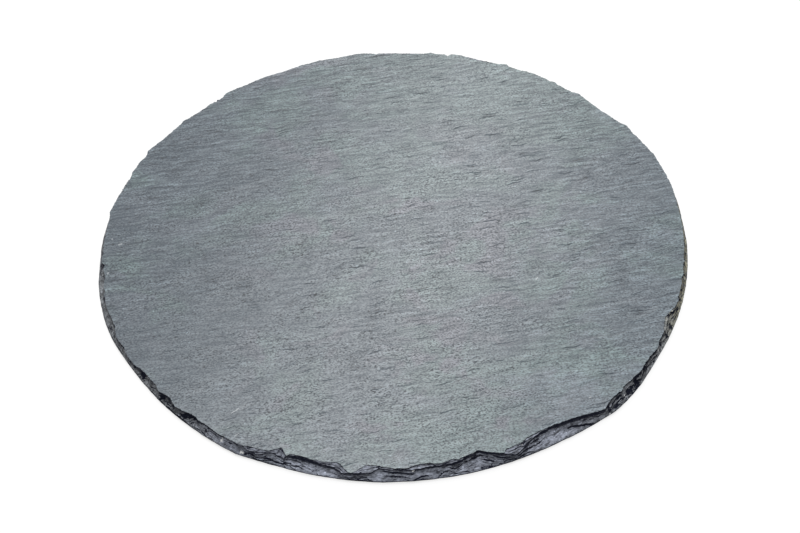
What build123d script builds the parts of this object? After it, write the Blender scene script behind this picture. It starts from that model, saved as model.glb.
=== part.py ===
from build123d import *
import math
import os

# A round serving board of riven slate, standing on four self-adhesive rubber feet.
# Millimetres, +Z up. The origin is on the table, under the middle of the board, and the
# side of the board that faces whoever serves from it is towards -Y.

# The slate round
board_diameter = 300.0
slab_thickness = 5.0
rim_draft = 0.6

# The rubber feet and the adhesive discs that hold them to the slate
foot_diameter = 12.0
foot_height = 1.5
foot_edge_radius = 0.4
foot_inset = 34.0
adhesive_diameter = 10.5
adhesive_thickness = 0.2

# How far a cutting tool runs past the surface that it opens
overrun = 2.0

# The chips struck off the rim when the round was dressed, anticlockwise from +X. Each one has
# its azimuth and its span in degrees, then its depth behind its chord as a share of half its
# chord, and the height of the unbroken rim below it as a share of the slab's thickness.
chip_shares = (
    (4.0, 9.0, 0.11, 0.20),
    (12.5, 8.0, 0.08, 0.14),
    (18.8, 4.6, 0.07, 0.22),
    (23.2, 3.0, 0.15, 0.10),
    (27.6, 5.4, 0.08, 0.18),
    (38.0, 12.0, 0.09, -0.06),
    (45.9, 2.6, 0.38, 0.16),
    (49.2, 3.8, 0.30, 0.08),
    (53.5, 4.4, 0.19, 0.14),
    (60.3, 4.8, 0.26, 0.10),
    (68.3, 9.6, 0.16, -0.05),
    (76.4, 2.8, 0.48, 0.12),
    (79.0, 3.2, 0.28, 0.20),
    (85.3, 8.6, 0.22, 0.08),
    (91.0, 6.6, 0.30, 0.12),
    (97.4, 5.4, 0.10, 0.22),
    (102.7, 6.2, 0.15, 0.12),
    (108.2, 5.6, 0.14, 0.18),
    (113.2, 5.6, 0.28, 0.06),
    (119.0, 6.8, 0.13, 0.16),
    (124.8, 5.4, 0.13, 0.20),
    (130.3, 5.0, 0.45, 0.05),
    (135.5, 7.2, 0.34, -0.06),
    (143.8, 8.8, 0.15, 0.14),
    (149.2, 3.2, 0.20, 0.20),
    (153.1, 3.4, 0.28, 0.12),
    (156.9, 3.2, 0.24, 0.18),
    (161.7, 6.8, 0.22, 0.10),
    (167.2, 5.2, 0.16, 0.16),
    (174.5, 8.2, 0.12, 0.20),
    (181.0, 6.4, 0.18, 0.16),
    (185.4, 2.8, 0.50, 0.12),
    (188.4, 3.6, 0.52, 0.16),
    (193.6, 7.4, 0.18, 0.12),
    (200.2, 6.8, 0.26, 0.08),
    (204.6, 2.8, 0.24, 0.16),
    (207.4, 3.6, 0.34, 0.10),
    (211.3, 4.6, 0.18, 0.14),
    (217.0, 7.2, 0.32, 0.06),
    (223.4, 5.8, 0.38, 0.10),
    (228.9, 5.2, 0.42, -0.05),
    (234.0, 6.2, 0.30, 0.08),
    (238.7, 3.6, 0.33, 0.14),
    (243.0, 6.2, 0.26, 0.06),
    (247.8, 5.6, 0.58, 0.08),
    (252.4, 7.4, 0.50, 0.05),
    (257.0, 7.6, 0.38, -0.05),
    (265.6, 8.6, 0.46, 0.08),
    (270.3, 5.8, 0.44, 0.12),
    (274.6, 6.4, 0.56, 0.10),
    (279.3, 7.2, 0.54, 0.06),
    (284.8, 9.8, 0.52, 0.05),
    (299.4, 18.6, 0.19, -0.06),
    (312.0, 5.2, 0.19, 0.08),
    (316.6, 4.4, 0.34, 0.12),
    (323.2, 7.6, 0.18, 0.08),
    (328.8, 4.6, 0.45, 0.10),
    (334.2, 8.2, 0.48, 0.05),
    (340.0, 2.8, 0.50, 0.14),
    (342.8, 3.2, 0.50, 0.10),
    (345.7, 3.2, 0.48, 0.16),
    (349.1, 4.4, 0.40, 0.10),
    (353.2, 4.8, 0.40, 0.14),
    (357.5, 4.8, 0.22, 0.18),
)

# The section of a chip, from its lip on the top face down to the unbroken rim: the run as a
# share of the chip's reach and the fall as a share of its height. It drops at the lip, rests
# on a ledge of the next lamina, drops again and hollows out towards the bottom edge.
section_shares = (
    (0.00, 0.00),
    (0.03, 0.17),
    (0.19, 0.22),
    (0.25, 0.38),
    (0.58, 0.66),
    (1.00, 1.00),
)

# How far a chip's lowest slope runs on past the rim, as a share of its reach, and how far its
# arc runs on past the ends of its chord, as a share of the angle that the chord takes
spill_share = 0.25
flank_share = 1.25

# Azimuth of the seam of the round blank, which lies on a cusp between two chips
blank_seam = 31.2

# Azimuths of the feet, with the names of their corners
foot_corners = {
    "front_left": 225.0,
    "front_right": 315.0,
    "back_left": 135.0,
    "back_right": 45.0,
}

# Levels and radii worked out from the sizes above
board_radius = board_diameter / 2
top_radius = board_radius - rim_draft
slab_bottom = foot_height + adhesive_thickness
slab_top = slab_bottom + slab_thickness
foot_circle_radius = board_radius - foot_inset


def chip_tool(azimuth, span, depth_share, land_share):
    """A curved tool lying against the rim from outside, whose section leaves one chip behind."""
    half_span = math.radians(span / 2)
    half_chord = top_radius * math.sin(half_span)
    arc_rise = top_radius * (1 - math.cos(half_span))
    hollow = half_chord * depth_share
    lip_radius = (half_chord ** 2 + hollow ** 2) / (2 * hollow)
    axis_distance = top_radius - arc_rise - hollow + lip_radius

    height = slab_thickness * (1 - land_share)
    reach = arc_rise + hollow + rim_draft * (1 - land_share)
    last_run_share = section_shares[-1][0] - section_shares[-2][0]
    last_fall_share = section_shares[-1][1] - section_shares[-2][1]
    outer_radius = lip_radius - reach * (1 + spill_share)
    outer_level = slab_top - height * (1 + spill_share * last_fall_share / last_run_share)

    points = [(outer_radius, slab_top + overrun), (lip_radius, slab_top + overrun)]
    for run_share, fall_share in section_shares:
        points.append((lip_radius - reach * run_share, slab_top - height * fall_share))
    points.append((outer_radius, outer_level))
    section = make_face(Plane.XZ * Polyline(*points, close=True))

    half_sweep = flank_share * math.degrees(math.asin(half_chord / lip_radius))
    section = Rot(0, 0, 180 - half_sweep) * section
    tool = revolve(section, Axis.Z, 2 * half_sweep)
    return Rot(0, 0, azimuth) * Pos(axis_distance, 0, 0) * tool


def slate_slab():
    """The slate round, with its rim chipped all the way round."""
    slab = Rot(0, 0, blank_seam) * Pos(0, 0, slab_bottom) * Cone(
        board_radius,
        top_radius,
        slab_thickness,
        align=(Align.CENTER, Align.CENTER, Align.MIN),
    )
    for first_row in (0, 1):
        slab -= [chip_tool(*row) for row in chip_shares[first_row::2]]
    return slab


def foot(azimuth):
    """One rubber foot, standing on the table, with a rounded lower edge."""
    body = Cylinder(
        foot_diameter / 2,
        foot_height,
        align=(Align.CENTER, Align.CENTER, Align.MIN),
    )
    body = fillet(body.edges().sort_by(Axis.Z)[0], foot_edge_radius)
    return Rot(0, 0, azimuth) * Pos(foot_circle_radius, 0, 0) * body


def adhesive_disc(azimuth):
    """The double-sided adhesive disc between a foot and the slate."""
    disc = Cylinder(
        adhesive_diameter / 2,
        adhesive_thickness,
        align=(Align.CENTER, Align.CENTER, Align.MIN),
    )
    return Rot(0, 0, azimuth) * Pos(foot_circle_radius, 0, foot_height) * disc


os.makedirs("parts", exist_ok=True)
export_step(slate_slab(), "parts/slate_slab.step")
for corner, azimuth in foot_corners.items():
    export_step(foot(azimuth), f"parts/foot_{corner}.step")
    export_step(adhesive_disc(azimuth), f"parts/adhesive_disc_{corner}.step")
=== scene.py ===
import math

import bpy
import numpy as np
from mathutils import Matrix, Vector


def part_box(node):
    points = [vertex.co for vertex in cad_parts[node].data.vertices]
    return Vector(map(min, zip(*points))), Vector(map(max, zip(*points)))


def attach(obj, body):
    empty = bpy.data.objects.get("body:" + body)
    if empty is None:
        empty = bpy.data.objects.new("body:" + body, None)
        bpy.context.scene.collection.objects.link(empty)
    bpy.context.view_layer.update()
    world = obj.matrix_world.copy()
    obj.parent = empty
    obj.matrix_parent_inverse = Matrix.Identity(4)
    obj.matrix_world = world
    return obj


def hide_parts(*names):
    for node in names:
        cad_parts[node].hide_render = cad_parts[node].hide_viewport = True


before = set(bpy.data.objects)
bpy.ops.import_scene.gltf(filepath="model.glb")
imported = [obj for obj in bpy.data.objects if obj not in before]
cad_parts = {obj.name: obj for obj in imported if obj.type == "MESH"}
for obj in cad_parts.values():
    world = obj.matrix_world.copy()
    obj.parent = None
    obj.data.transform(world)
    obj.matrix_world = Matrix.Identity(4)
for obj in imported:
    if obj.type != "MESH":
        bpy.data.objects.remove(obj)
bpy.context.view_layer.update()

mm = 0.001

# Where the board is seen from
# The board lies flat and is looked down on from its front, from 46 degrees up and 0.78 m
# away. The picture leans by a little over two degrees, so the camera is rolled by as much.
view_elevation = math.radians(46.44)
view_roll = math.radians(-2.38)
view_distance = 783.2 * mm
view_target = Vector((2.9 * mm, -18.6 * mm, 3.0 * mm))

view_back = Vector((0, -math.cos(view_elevation), math.sin(view_elevation)))
level_right = Vector((1, 0, 0))
level_up = view_back.cross(level_right)
view_right = level_right * math.cos(view_roll) + level_up * math.sin(view_roll)
view_up = level_up * math.cos(view_roll) - level_right * math.sin(view_roll)


def new_object(name, data):
    """An object that stands in the scene."""
    placed = bpy.data.objects.new(name, data)
    bpy.context.scene.collection.objects.link(placed)
    return placed


camera_data = bpy.data.cameras.new("camera")
camera_data.lens = 70
camera_data.sensor_width = 36
camera_data.clip_start = 10 * mm
camera = new_object("camera", camera_data)
camera.matrix_world = Matrix.Translation(view_target + view_back * view_distance) @ Matrix(
    (view_right, view_up, view_back)
).transposed().to_4x4()
bpy.context.scene.camera = camera

# The slate's cleavage
# Slate splits along one set of planes, so all its roughness, on the faces and down the broken
# rim, comes from thin sheets that ended a little sooner or later. This noise lays them out.
slab_low, slab_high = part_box("slate_slab")
slab_thickness = slab_high.z - slab_low.z
slab_radius = (slab_high.x - slab_low.x) / 2
strike = math.radians(8.5)

lattice_size = 512
lattice_random = np.random.default_rng(31)
lattice_order = lattice_random.permutation(lattice_size)
lattice_turns = lattice_random.uniform(0, 2 * math.pi, lattice_size)
lattice_slopes = np.stack([np.cos(lattice_turns), np.sin(lattice_turns)], axis=1)


def stone_noise(x, y, seed):
    """Smooth noise between about -1 and 1, with one swell for each unit of x and of y."""
    x = x + 37.31 * seed
    y = y + 19.77 * seed
    column = np.floor(x).astype(int)
    row = np.floor(y).astype(int)
    across = x - column
    along = y - row
    ease_across = across * across * (3 - 2 * across)
    ease_along = along * along * (3 - 2 * along)
    total = np.zeros(np.broadcast(x, y).shape)
    for right in (0, 1):
        for up in (0, 1):
            corner = lattice_order[(column + right) % lattice_size] + row + up
            slope = lattice_slopes[lattice_order[corner % lattice_size]]
            weight = (ease_across if right else 1 - ease_across) * (ease_along if up else 1 - ease_along)
            total += weight * (slope[..., 0] * (across - right) + slope[..., 1] * (along - up))
    return 1.5 * total


def layered_noise(x, y, seed, layers=3):
    """Noise with finer and weaker swells laid over it."""
    total = 0
    for layer in range(layers):
        total = total + stone_noise(x * 2 ** layer, y * 2 ** layer, seed + 11 * layer) / 2 ** layer
    return total


def eased(value, low, high):
    """0 below low, 1 above high, and a smooth rise between them."""
    share = np.clip((value - low) / (high - low), 0, 1)
    return share * share * (3 - 2 * share)


# The chipped rim of the slate
# The round was cut by striking chips off its rim with a slater's knife, so the top edge is
# scalloped. Each chip breaks down steeply, then hollows out over the ends of the sheets to a
# thin lower edge. All tables give an azimuth in degrees, anticlockwise from +X, and a size in mm.
rim_columns = 2400
rim_degrees = np.arange(rim_columns) * 360 / rim_columns
rim_x = np.cos(np.radians(rim_degrees))
rim_y = np.sin(np.radians(rim_degrees))
around_x = rim_x * slab_radius / mm
around_y = rim_y * slab_radius / mm

# The radius of the lower edge
outline_table = {
    0: 149.0, 3: 149.2, 7: 149.9, 12: 150.5, 21: 150.7, 31: 150.7, 45: 150.1, 63: 150.2, 90: 150.0,
    110: 149.9, 130: 149.8, 155: 150.0, 178: 150.0, 181: 149.7, 185: 149.8, 188: 150.3, 198: 150.5,
    203: 150.3, 206: 149.7, 211: 149.0, 217: 148.9, 221: 149.2, 229: 149.6, 234: 150.1, 240: 150.8,
    244: 150.0, 249: 149.6, 255: 149.7, 261: 149.9, 265: 150.1, 269: 150.5, 273: 150.0, 280: 150.1,
    291: 149.9, 299: 150.1, 304: 150.9, 309: 151.9, 311: 152.3, 314: 152.1, 319: 151.2, 321: 150.5,
    326: 149.5, 332: 149.2, 347: 149.0, 352: 149.0, 357: 149.2,
}

# The radius of the lip, where the top sheet ends
lip_table = {
    0: 147.5, 5: 147.8, 9: 148.6, 11: 149.2, 15: 149.5, 19: 149.8, 20.9: 150.4, 21.5: 149.8, 24: 149.9,
    24.6: 149.4, 27: 149.9, 28: 149.3, 30.5: 150.4, 32: 149.2, 34: 148.2, 38: 147.6, 42: 148.2, 44.7: 149.5,
    46: 148.1, 48: 148.1, 50: 148.2, 51: 149.1, 52: 148.3, 54: 148.8, 56: 149.2, 58: 149.1, 59.5: 148.1,
    62: 148.4, 63: 149.8, 64.5: 148.5, 67: 147.5, 69: 147.1, 71.5: 147.9, 73: 149.1, 75.4: 149.2,
    76.2: 147.2, 77: 148.4, 78.5: 148.0, 80: 148.9, 81.5: 147.6, 84: 146.8, 86: 146.8, 88: 147.5, 90: 146.8,
    92: 147.3, 94: 148.7, 96: 149.2, 98: 148.7, 100: 148.1, 102.5: 148.0, 105: 148.6, 107: 148.0,
    109: 148.3, 111: 147.8, 113: 147.3, 115: 147.6, 117: 148.1, 120: 148.3, 122.5: 147.9, 125: 148.5,
    127.5: 149.0, 129: 147.2, 131.2: 146.5, 132.3: 147.6, 133.5: 146.6, 135.5: 146.2, 138: 147.1,
    139.5: 148.4, 141: 147.7, 144: 147.5, 147: 147.8, 148.5: 148.6, 151: 149.6, 152.2: 148.5, 153.5: 148.4,
    155: 149.3, 156.3: 148.5, 157.5: 149.0, 159: 148.0, 161.5: 147.5, 163.5: 147.9, 165: 148.4, 168: 148.9,
    170: 149.2, 172: 148.2, 175: 147.9, 178: 147.8, 181.5: 147.6, 184: 147.9, 184.8: 146.6, 186: 147.1,
    187: 146.7, 188.3: 146.3, 189.5: 147.1, 191.2: 147.6, 192: 147.1, 193: 147.8, 195: 148.1, 197: 147.8,
    198.5: 147.4, 200: 147.0, 201.5: 147.0, 202.5: 147.8, 204: 148.5, 205.5: 148.4, 206.3: 147.9,
    207.5: 147.7, 208.5: 148.2, 210: 148.3, 212: 148.2, 213.2: 147.4, 213.9: 146.8, 215: 146.4, 217: 146.3,
    219: 146.4, 219.8: 147.0, 220.5: 147.8, 221: 147.4, 222: 146.6, 223.3: 146.3, 224: 146.9, 225: 147.9,
    226: 147.9, 227: 147.5, 228: 146.8, 229.3: 146.3, 230: 146.1, 230.6: 146.7, 231.5: 147.0, 232.5: 146.8,
    233.5: 147.0, 235: 147.6, 236.6: 148.0, 237.3: 147.6, 238.5: 147.9, 239.8: 148.2, 241: 147.9,
    242: 147.2, 243: 146.8, 244: 146.6, 245: 146.2, 245.8: 145.9, 246.4: 144.7, 247: 143.6, 247.6: 142.3,
    248.2: 143.4, 248.8: 144.9, 249.3: 145.7, 249.6: 144.6, 250.3: 144.2, 251.2: 144.0, 252.5: 144.0,
    254: 144.5, 256: 144.6, 257.5: 144.2, 258.3: 144.0, 259: 144.6, 259.6: 146.0, 260.2: 147.8,
    260.8: 148.9, 261.3: 148.8, 262.3: 147.2, 263: 145.2, 263.6: 144.0, 264.6: 144.1, 266: 144.4,
    267.2: 145.2, 268.5: 145.7, 270: 145.9, 271: 146.0, 271.8: 145.0, 272.4: 144.5, 273.3: 144.2,
    275: 144.0, 276: 144.8, 277: 145.0, 278: 144.3, 279.4: 143.8, 280.2: 144.4, 281: 143.6, 282.5: 143.0,
    283.4: 142.6, 283.8: 141.9, 284.3: 142.1, 285.2: 143.4, 286.2: 144.8, 287.3: 146.2, 288.3: 147.2,
    288.8: 145.6, 290.3: 145.1, 292: 145.0, 292.6: 144.2, 293.5: 143.4, 295: 143.0, 297: 143.0, 299: 143.2,
    300: 143.6, 301: 144.1, 302.5: 144.7, 304: 145.6, 305: 146.6, 306: 147.7, 307: 148.7, 308: 149.8,
    308.7: 150.3, 309.4: 149.6, 310: 149.1, 311: 148.4, 312: 148.2, 313.3: 148.2, 313.8: 148.6,
    314.3: 148.2, 314.8: 147.5, 316: 147.7, 317.3: 148.0, 318: 147.8, 319: 148.2, 320: 148.5, 321: 147.9,
    322: 147.7, 323: 147.5, 324: 147.5, 325: 147.8, 326: 148.2, 326.8: 147.9, 327.6: 147.2, 328.3: 146.6,
    329: 146.8, 329.8: 146.6, 330.5: 146.6, 331.2: 146.0, 332: 145.3, 333: 144.5, 334: 144.2, 335: 144.7,
    336: 145.5, 337: 146.4, 338.2: 147.1, 339.2: 147.3, 340: 146.7, 341: 146.9, 342.4: 146.7, 344: 147.0,
    345.3: 146.4, 346.3: 147.1, 347.5: 146.6, 349: 146.6, 350: 147.1, 351: 146.6, 353: 147.0, 355: 147.1,
}

# The radius at which the second sheet ends, where the lip lies behind it, and 0 elsewhere
shelf_table = {
    0: 0, 61.9: 0, 62: 148.6, 66: 148.4, 72: 149.2, 72.1: 0, 81.9: 0, 82: 147.9, 86: 147.8, 92: 148.6,
    92.1: 0, 129.9: 0, 130: 147.9, 135: 147.4, 138: 148.0, 138.1: 0, 160: 0, 160.1: 148.4, 164: 148.6,
    164.1: 0, 241.2: 0, 241.3: 148.4, 242.8: 149.0, 244.0: 149.1, 244.8: 148.4, 245.8: 146.6, 246.8: 145.9,
    247.9: 146.2, 248.9: 147.1, 249.1: 145.6, 249.9: 144.7, 250.9: 144.4, 252.5: 144.6, 254.0: 145.1,
    255.3: 145.6, 256.5: 146.0, 258.0: 146.4, 258.8: 147.5, 259.5: 148.6, 260.0: 149.0, 261.5: 148.9,
    262.5: 148.3, 263.5: 147.8, 264.5: 147.5, 265.2: 146.4, 266.0: 145.4, 267.2: 145.7, 268.5: 146.1,
    270: 146.3, 272.0: 146.4, 273.0: 146.3, 274.0: 145.8, 275.0: 145.5, 276.0: 145.7, 277.0: 145.6,
    279.0: 145.4, 280.0: 145.0, 281.0: 144.5, 281.1: 0, 288.3: 0, 288.4: 147.4, 289.1: 148.1, 290.4: 149.1,
    291.2: 148.2, 292.2: 147.0, 293.2: 145.6, 294.2: 144.6, 295.4: 143.9, 296.6: 143.4, 297.8: 143.3,
    297.9: 0, 330.9: 0, 331.0: 147.0, 332.4: 146.5, 333.4: 145.6, 335: 145.7, 336.4: 146.6, 338.2: 147.6,
    338.3: 0, 359.9: 0,
}

# How far the break below the lip or the shelf falls before it hollows out
break_table = {
    0: 1.4, 12: 0.9, 21: 1.8, 27: 1.0, 38: 2.0, 45: 0.9, 48: 1.8, 54: 1.2, 63: 0.9, 69: 2.2, 76: 2.6,
    80: 1.1, 85: 2.0, 91: 2.4, 97: 1.0, 104: 1.8, 109: 1.1, 114: 2.4, 120: 1.3, 128: 1.0, 131: 2.5,
    136: 2.2, 140: 1.0, 144: 1.9, 151: 0.9, 154: 1.8, 161: 2.2, 170: 1.0, 175: 1.7, 180: 1.5, 185: 2.3,
    188: 1.6, 192: 1.1, 197: 1.5, 200: 2.4, 203: 1.0, 206: 2.2, 209: 1.0, 213: 2.2, 214.5: 3.4, 216: 1.0,
    219: 0.8, 221.5: 3.0, 224: 2.4, 226: 1.0, 227.5: 2.8, 230.5: 2.8, 232: 0.9, 236.6: 0.8, 238: 1.4,
    241: 0.9, 243: 0.8, 247: 0.9, 249: 0.8, 249.7: 2.3, 252: 2.6, 256: 2.6, 258: 1.6, 259.5: 0.8, 261: 1.4,
    263: 1.1, 265: 0.9, 267: 0.9, 271: 1.0, 272: 1.3, 275: 1.5, 278: 1.7, 281: 2.0, 283: 2.2, 285: 1.7,
    288: 1.1, 290.3: 0.8, 293: 1.2, 295: 1.9, 300: 2.5, 304: 2.7, 307.5: 2.6, 309: 1.2, 311: 1.1, 314: 1.0,
    316: 1.0, 318: 2.5, 320: 1.5, 323: 2.4, 326: 1.4, 328: 1.4, 330: 2.0, 332: 0.9, 335: 0.9, 338: 1.0,
    345: 1.3, 355: 1.0,
}

# How clean the hollow facet below the break is: above 0 where the sheets lie bare, below 0 where
# they are ragged and dark
bareness_table = {
    190: -0.20, 200: -0.28, 208: 0.04, 218: -0.18, 224: -0.48, 230: -0.16, 234: 0.18, 242: -0.05,
    247: -0.10, 251: 0.14, 256: 0.20, 259: 0.0, 262: -0.1, 266: 0.05, 270: -0.10, 278: 0.02, 283: -0.08,
    288: -0.36, 292: -0.15, 294: 0.05, 296: 0.22, 298: 0.10, 301: -0.05, 306: -0.16, 312: -0.14, 316: -0.30,
    320: -0.20, 324: 0.40, 330: 0.05, 335: 0.18, 345: 0.12, 350: 0.0, 20: -0.2, 60: 0.0, 100: -0.2,
    140: 0.05, 170: -0.15,
}

# How clean the shelf is, in the same way
shelf_bareness_table = {
    200: 0.0, 243: 0.0, 247: -0.15, 252: 0.0, 257: 0.15, 260: 0.15, 262.5: 0.30, 264: 0.45, 266: 0.15,
    270: 0.05, 280: 0.0, 291: 0.05, 340: 0.0,
}

# How dark the painted shadow under the lip and down the break below it is: 1 where it is black
lip_painted_shade_table = {
    0: 0.8, 185: 0.7, 192: 0.45, 200: 0.6, 205: 0.7, 210: 0.35, 213: 0.9, 217: 0.8, 219: 0.4, 221: 0.9,
    225: 0.5, 227: 0.9, 231: 0.9, 233: 0.9, 236.6: 0.75, 238: 0.2, 240: 0.45, 244: 0.9, 249: 1.0, 285: 1.0,
    308: 1.0, 312: 0.65, 317: 0.8, 323: 0.9, 329: 0.7, 336: 0.5, 345: 0.7,
}

# Thin sheets that end on the shelf, and others on the hollow facet below the break: the height of
# each end in mm, how far it fades out, and its azimuths, with the share of the way down at each
shelf_ledges = [
    (0.14, 0.8, {241.8: 0.55, 243.0: 0.45, 244.0: 0.55, 245.0: 0.60, 245.8: 0.75}),
    (0.12, 0.7, {246.9: 0.15, 247.6: 0.30, 248.1: 0.60, 248.6: 0.95}),
    (0.14, 0.6, {250.4: 0.50, 252.4: 0.40, 254.4: 0.55, 256.6: 0.45, 257.4: 0.70}),
    (0.20, 0.8, {257.4: 0.40, 258.2: 0.57, 259.3: 0.58, 260.1: 0.75}),
    (0.16, 0.8, {261.9: 0.60, 262.8: 0.45, 264.0: 0.55, 265.0: 0.30, 266.2: 0.45}),
    (0.12, 0.5, {271.9: 0.40, 273.2: 0.35, 274.8: 0.30, 276.2: 0.55, 278.0: 0.45, 280.0: 0.50}),
    (0.26, 0.8, {288.8: 0.50, 289.7: 0.39, 290.4: 0.36, 291.2: 0.38, 291.9: 0.58, 292.4: 0.85}),
    (0.20, 0.7, {289.3: 0.78, 290.2: 0.62, 291.0: 0.60, 291.6: 0.80}),
    (0.18, 0.6, {290.4: 0.14, 291.6: 0.16, 292.6: 0.30, 293.6: 0.55, 294.6: 0.60}),
]
facet_ledges = [
    (0.50, 1.6, {244.6: 0.10, 245.6: 0.42, 246.5: 0.48, 247.3: 0.55, 248.3: 0.57, 249.2: 0.50, 250.0: 0.47,
                 250.7: 0.56, 251.6: 0.54, 252.4: 0.68, 253.4: 0.80}),
    (0.25, 1.0, {258.6: 0.60, 259.6: 0.75, 260.4: 0.55, 261.2: 0.80}),
    (0.30, 1.2, {262.6: 0.28, 263.4: 0.40, 263.9: 0.55, 264.3: 0.75, 264.7: 0.95}),
    (0.55, 1.8, {266.2: 0.02, 266.8: 0.07, 268.0: 0.11, 269.0: 0.17, 270.0: 0.23, 271.0: 0.29, 272.0: 0.33,
                 272.6: 0.28}),
    (0.35, 1.2, {266.8: 0.62, 267.6: 0.53, 268.7: 0.54, 269.7: 0.56, 270.5: 0.65, 271.5: 0.77}),
    (0.40, 1.2, {271.9: 0.97, 272.5: 0.80, 273.2: 0.70, 274.0: 0.68, 274.9: 0.66}),
    (0.35, 1.4, {276.0: 0.95, 276.7: 0.68, 277.5: 0.47, 278.3: 0.45, 279.0: 0.60, 279.8: 0.78}),
    (0.40, 0.9, {281.2: 0.10, 282.2: 0.16, 283.0: 0.16, 284.0: 0.20, 284.8: 0.18}),
    (0.40, 1.2, {284.6: 0.46, 285.2: 0.48, 285.8: 0.52, 286.5: 0.66}),
    (0.35, 1.0, {286.2: 0.10, 287.2: 0.20, 288.2: 0.30, 289.0: 0.30}),
    (0.45, 1.4, {290.4: 0.25, 291.3: 0.16, 292.0: 0.20, 292.8: 0.34, 293.5: 0.45, 294.5: 0.40}),
    (0.35, 1.0, {293.4: 0.06, 294.2: 0.12, 295.0: 0.14, 295.9: 0.08}),
    (0.30, 1.2, {293.8: 0.48, 295.0: 0.50, 296.0: 0.38, 297.0: 0.20}),
    (0.75, 2.4, {301.0: 0.34, 302.0: 0.36, 303.0: 0.46, 304.2: 0.60, 305.2: 0.74, 306.2: 0.86}),
    (0.40, 1.2, {309.6: 0.85, 310.2: 0.42, 311.0: 0.20, 312.2: 0.12, 313.4: 0.20, 314.0: 0.45}),
    (0.35, 0.9, {311.4: 0.60, 312.2: 0.42, 313.0: 0.40, 313.8: 0.55}),
    (0.40, 1.0, {314.6: 0.75, 315.0: 0.40, 316.0: 0.25, 317.2: 0.35, 317.8: 0.70}),
    (0.35, 0.8, {318.0: 0.20, 318.8: 0.35, 319.6: 0.60}),
    (0.45, 1.0, {320.4: 0.90, 321.2: 0.45, 322.4: 0.22, 324.0: 0.20, 325.4: 0.40, 326.2: 0.85}),
    (0.30, 0.8, {327.0: 0.80, 327.8: 0.35, 328.4: 0.10, 329.0: 0.40, 329.8: 0.75}),
    (0.30, 0.8, {331.0: 0.60, 332.0: 0.35, 332.6: 0.60}),
    (0.30, 0.8, {333.2: 0.50, 334.4: 0.30, 335.6: 0.40, 337.0: 0.35, 338.0: 0.60}),
]

# Spots where the ends of the sheets crumbled away, painted black inside as their shade: the azimuth and the
# depth of each below the top, then half its width in degrees, half its height and how far in it goes in mm
crumbled_spots = (
    (193.0, 1.6, 1.0, 0.9, 0.3), (201.4, 1.0, 1.4, 1.0, 0.5), (206.8, 1.0, 0.9, 1.1, 0.6),
    (210.5, 1.6, 0.5, 0.8, 0.3), (212.4, 1.8, 0.5, 0.9, 0.4), (214.7, 2.4, 1.3, 2.3, 0.7),
    (217.2, 0.4, 1.8, 0.45, 0.3), (221.4, 2.6, 0.7, 2.0, 0.6), (222.8, 0.9, 1.3, 0.9, 0.6),
    (224.6, 1.9, 0.8, 1.0, 0.6), (227.4, 3.2, 0.9, 1.0, 0.6), (229.2, 1.7, 1.6, 1.9, 0.8),
    (230.3, 0.6, 0.5, 0.9, 0.5), (233.0, 0.5, 1.1, 0.5, 0.4), (233.3, 1.5, 0.3, 0.6, 0.4),
    (232.9, 2.6, 0.3, 0.7, 0.4), (234.8, 0.6, 1.3, 0.45, 0.4), (236.3, 0.6, 0.8, 0.5, 0.4),
    (238.5, 2.1, 0.45, 0.5, 0.5), (239.4, 1.3, 0.6, 0.4, 0.3), (241.9, 3.4, 0.4, 0.8, 0.3),
    (242.9, 2.4, 1.0, 0.8, 0.4), (243.6, 4.0, 1.0, 0.6, 0.3), (309.9, 2.6, 0.5, 1.6, 0.4),
    (311.4, 3.6, 1.0, 0.5, 0.3), (313.0, 1.9, 0.6, 0.4, 0.4), (312.3, 0.6, 1.5, 0.4, 0.4),
    (315.4, 0.4, 0.9, 0.35, 0.3), (315.6, 3.4, 1.3, 0.8, 0.5), (317.4, 0.7, 0.6, 0.5, 0.4),
    (318.0, 3.4, 0.9, 1.1, 0.6), (319.2, 1.6, 1.1, 1.1, 0.6), (321.4, 2.2, 1.0, 1.3, 0.7),
    (323.2, 0.9, 1.7, 0.6, 0.6), (323.6, 3.6, 1.2, 0.5, 0.4), (325.2, 1.7, 0.7, 0.7, 0.5),
    (328.0, 2.2, 0.5, 1.4, 0.5), (329.0, 0.8, 0.4, 1.1, 0.5), (330.3, 1.6, 0.7, 0.7, 0.5),
    (330.8, 3.2, 0.5, 0.8, 0.4), (333.1, 1.4, 0.6, 0.8, 0.5), (333.2, 3.4, 0.8, 0.8, 0.4),
    (335.2, 0.9, 1.0, 0.8, 0.5), (336.6, 1.5, 0.9, 0.8, 0.5), (337.8, 2.3, 0.6, 1.0, 0.5),
    (340.2, 2.0, 0.5, 2.0, 0.5), (342.7, 1.5, 0.6, 1.5, 0.5), (345.0, 1.2, 0.5, 1.3, 0.5),
    (347.0, 2.4, 0.5, 1.5, 0.4), (20.0, 1.6, 1.5, 1.0, 0.5), (46.5, 1.2, 1.0, 1.4, 0.6),
    (58.0, 1.8, 0.8, 1.0, 0.5), (76.5, 1.4, 1.1, 1.6, 0.7), (91.0, 2.0, 1.6, 1.1, 0.5),
    (104.0, 1.0, 1.4, 0.7, 0.4), (114.0, 2.2, 1.0, 1.5, 0.6), (131.0, 1.4, 1.5, 1.2, 0.7),
    (8.5, 0.8, 0.8, 0.8, 0.3), (4.5, 1.0, 0.6, 0.9, 0.3), (357.4, 0.9, 0.9, 0.8, 0.4),
    (354.8, 1.4, 0.6, 1.5, 0.5), (350.8, 1.4, 0.5, 1.6, 0.5), (349.3, 1.8, 0.5, 1.4, 0.4),
    (352.6, 2.8, 0.5, 0.9, 0.4), (149.0, 1.8, 0.8, 1.1, 0.5), (163.0, 1.2, 1.6, 0.9, 0.5),
    (176.0, 2.4, 0.9, 1.2, 0.5), (185.2, 1.4, 1.1, 1.4, 0.7),
)

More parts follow.
